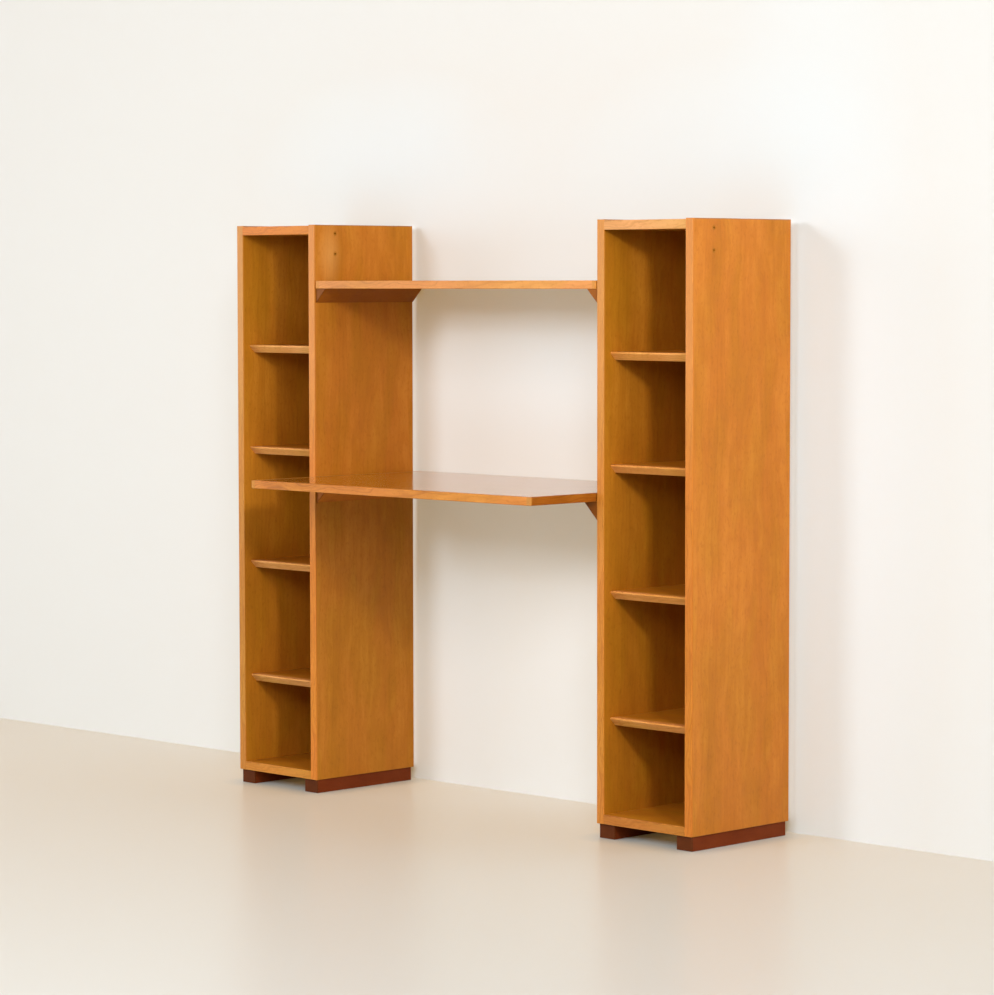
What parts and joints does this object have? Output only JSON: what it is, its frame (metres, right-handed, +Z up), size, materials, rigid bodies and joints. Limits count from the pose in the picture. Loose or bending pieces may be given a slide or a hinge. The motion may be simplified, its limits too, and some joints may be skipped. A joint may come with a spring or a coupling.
{
  "type": "modular desk",
  "caption": "Desk top and upper shelf resting on three-sided cleats between two open shelf towers that stand on low dark runners.",
  "frame": {"origin": "on the floor under the centre of the whole desk's bounding box", "axes": "+X to the right as the user sits at the desk, +Y towards the wall, +Z up"},
  "size_m": [1.43, 0.527, 1.311],
  "materials": {
    "veneered_board": "honey-brown veneer under satin lacquer",
    "solid_lipping": "lighter solid wood under satin lacquer",
    "desk_veneer": "honey-brown veneer under semi-gloss lacquer",
    "back_veneer": "thin veneered sheet, matt",
    "dark_wood": "dark red-brown solid wood under satin lacquer",
    "dowel_wood": "bare pale hardwood",
    "steel": "plain steel"
  },
  "bodies": {
    "root": {"left_tower_left_side": "veneered_board", "left_tower_left_side_lipping": "solid_lipping", "left_tower_left_runner": "dark_wood", "left_tower_right_side": "veneered_board", "left_tower_right_side_lipping": "solid_lipping", "left_tower_right_runner": "dark_wood", "left_tower_bottom_board": "veneered_board", "left_tower_bottom_lipping": "solid_lipping", "left_tower_top_board": "veneered_board", "left_tower_top_lipping": "solid_lipping", "left_tower_shelf_1": "veneered_board", "left_tower_shelf_2": "veneered_board", "left_tower_shelf_3": "veneered_board", "left_tower_shelf_4": "veneered_board", "left_tower_shelf_lippings": "solid_lipping", "left_tower_back_panel": "back_veneer", "left_tower_board_dowels": "dowel_wood", "left_tower_shelf_dowels": "dowel_wood", "left_tower_back_pins": "steel", "left_tower_runner_screws": "steel", "right_tower_left_side": "veneered_board", "right_tower_left_side_lipping": "solid_lipping", "right_tower_left_runner": "dark_wood", "right_tower_right_side": "veneered_board", "right_tower_right_side_lipping": "solid_lipping", "right_tower_right_runner": "dark_wood", "right_tower_bottom_board": "veneered_board", "right_tower_bottom_lipping": "solid_lipping", "right_tower_top_board": "veneered_board", "right_tower_top_lipping": "solid_lipping", "right_tower_shelf_1": "veneered_board", "right_tower_shelf_2": "veneered_board", "right_tower_shelf_3": "veneered_board", "right_tower_shelf_4": "veneered_board", "right_tower_shelf_lippings": "solid_lipping", "right_tower_back_panel": "back_veneer", "right_tower_board_dowels": "dowel_wood", "right_tower_shelf_dowels": "dowel_wood", "right_tower_back_pins": "steel", "right_tower_runner_screws": "steel", "desk_panel": "desk_veneer", "desk_front_lipping": "solid_lipping", "desk_rear_lipping": "solid_lipping", "desk_left_lipping": "solid_lipping", "desk_right_lipping": "solid_lipping", "desk_left_cleat": "dark_wood", "desk_right_cleat": "dark_wood", "desk_cleat_screws": "steel", "desk_cleat_plugs": "dark_wood", "desk_pegs": "dowel_wood", "upper_shelf_panel": "desk_veneer", "upper_shelf_front_lipping": "solid_lipping", "upper_shelf_rear_lipping": "solid_lipping", "upper_shelf_left_lipping": "solid_lipping", "upper_shelf_right_lipping": "solid_lipping", "upper_shelf_left_cleat": "dark_wood", "upper_shelf_right_cleat": "dark_wood", "upper_shelf_cleat_screws": "steel", "upper_shelf_cleat_plugs": "dark_wood", "upper_shelf_pegs": "dowel_wood"}
  },
  "joints": []
}
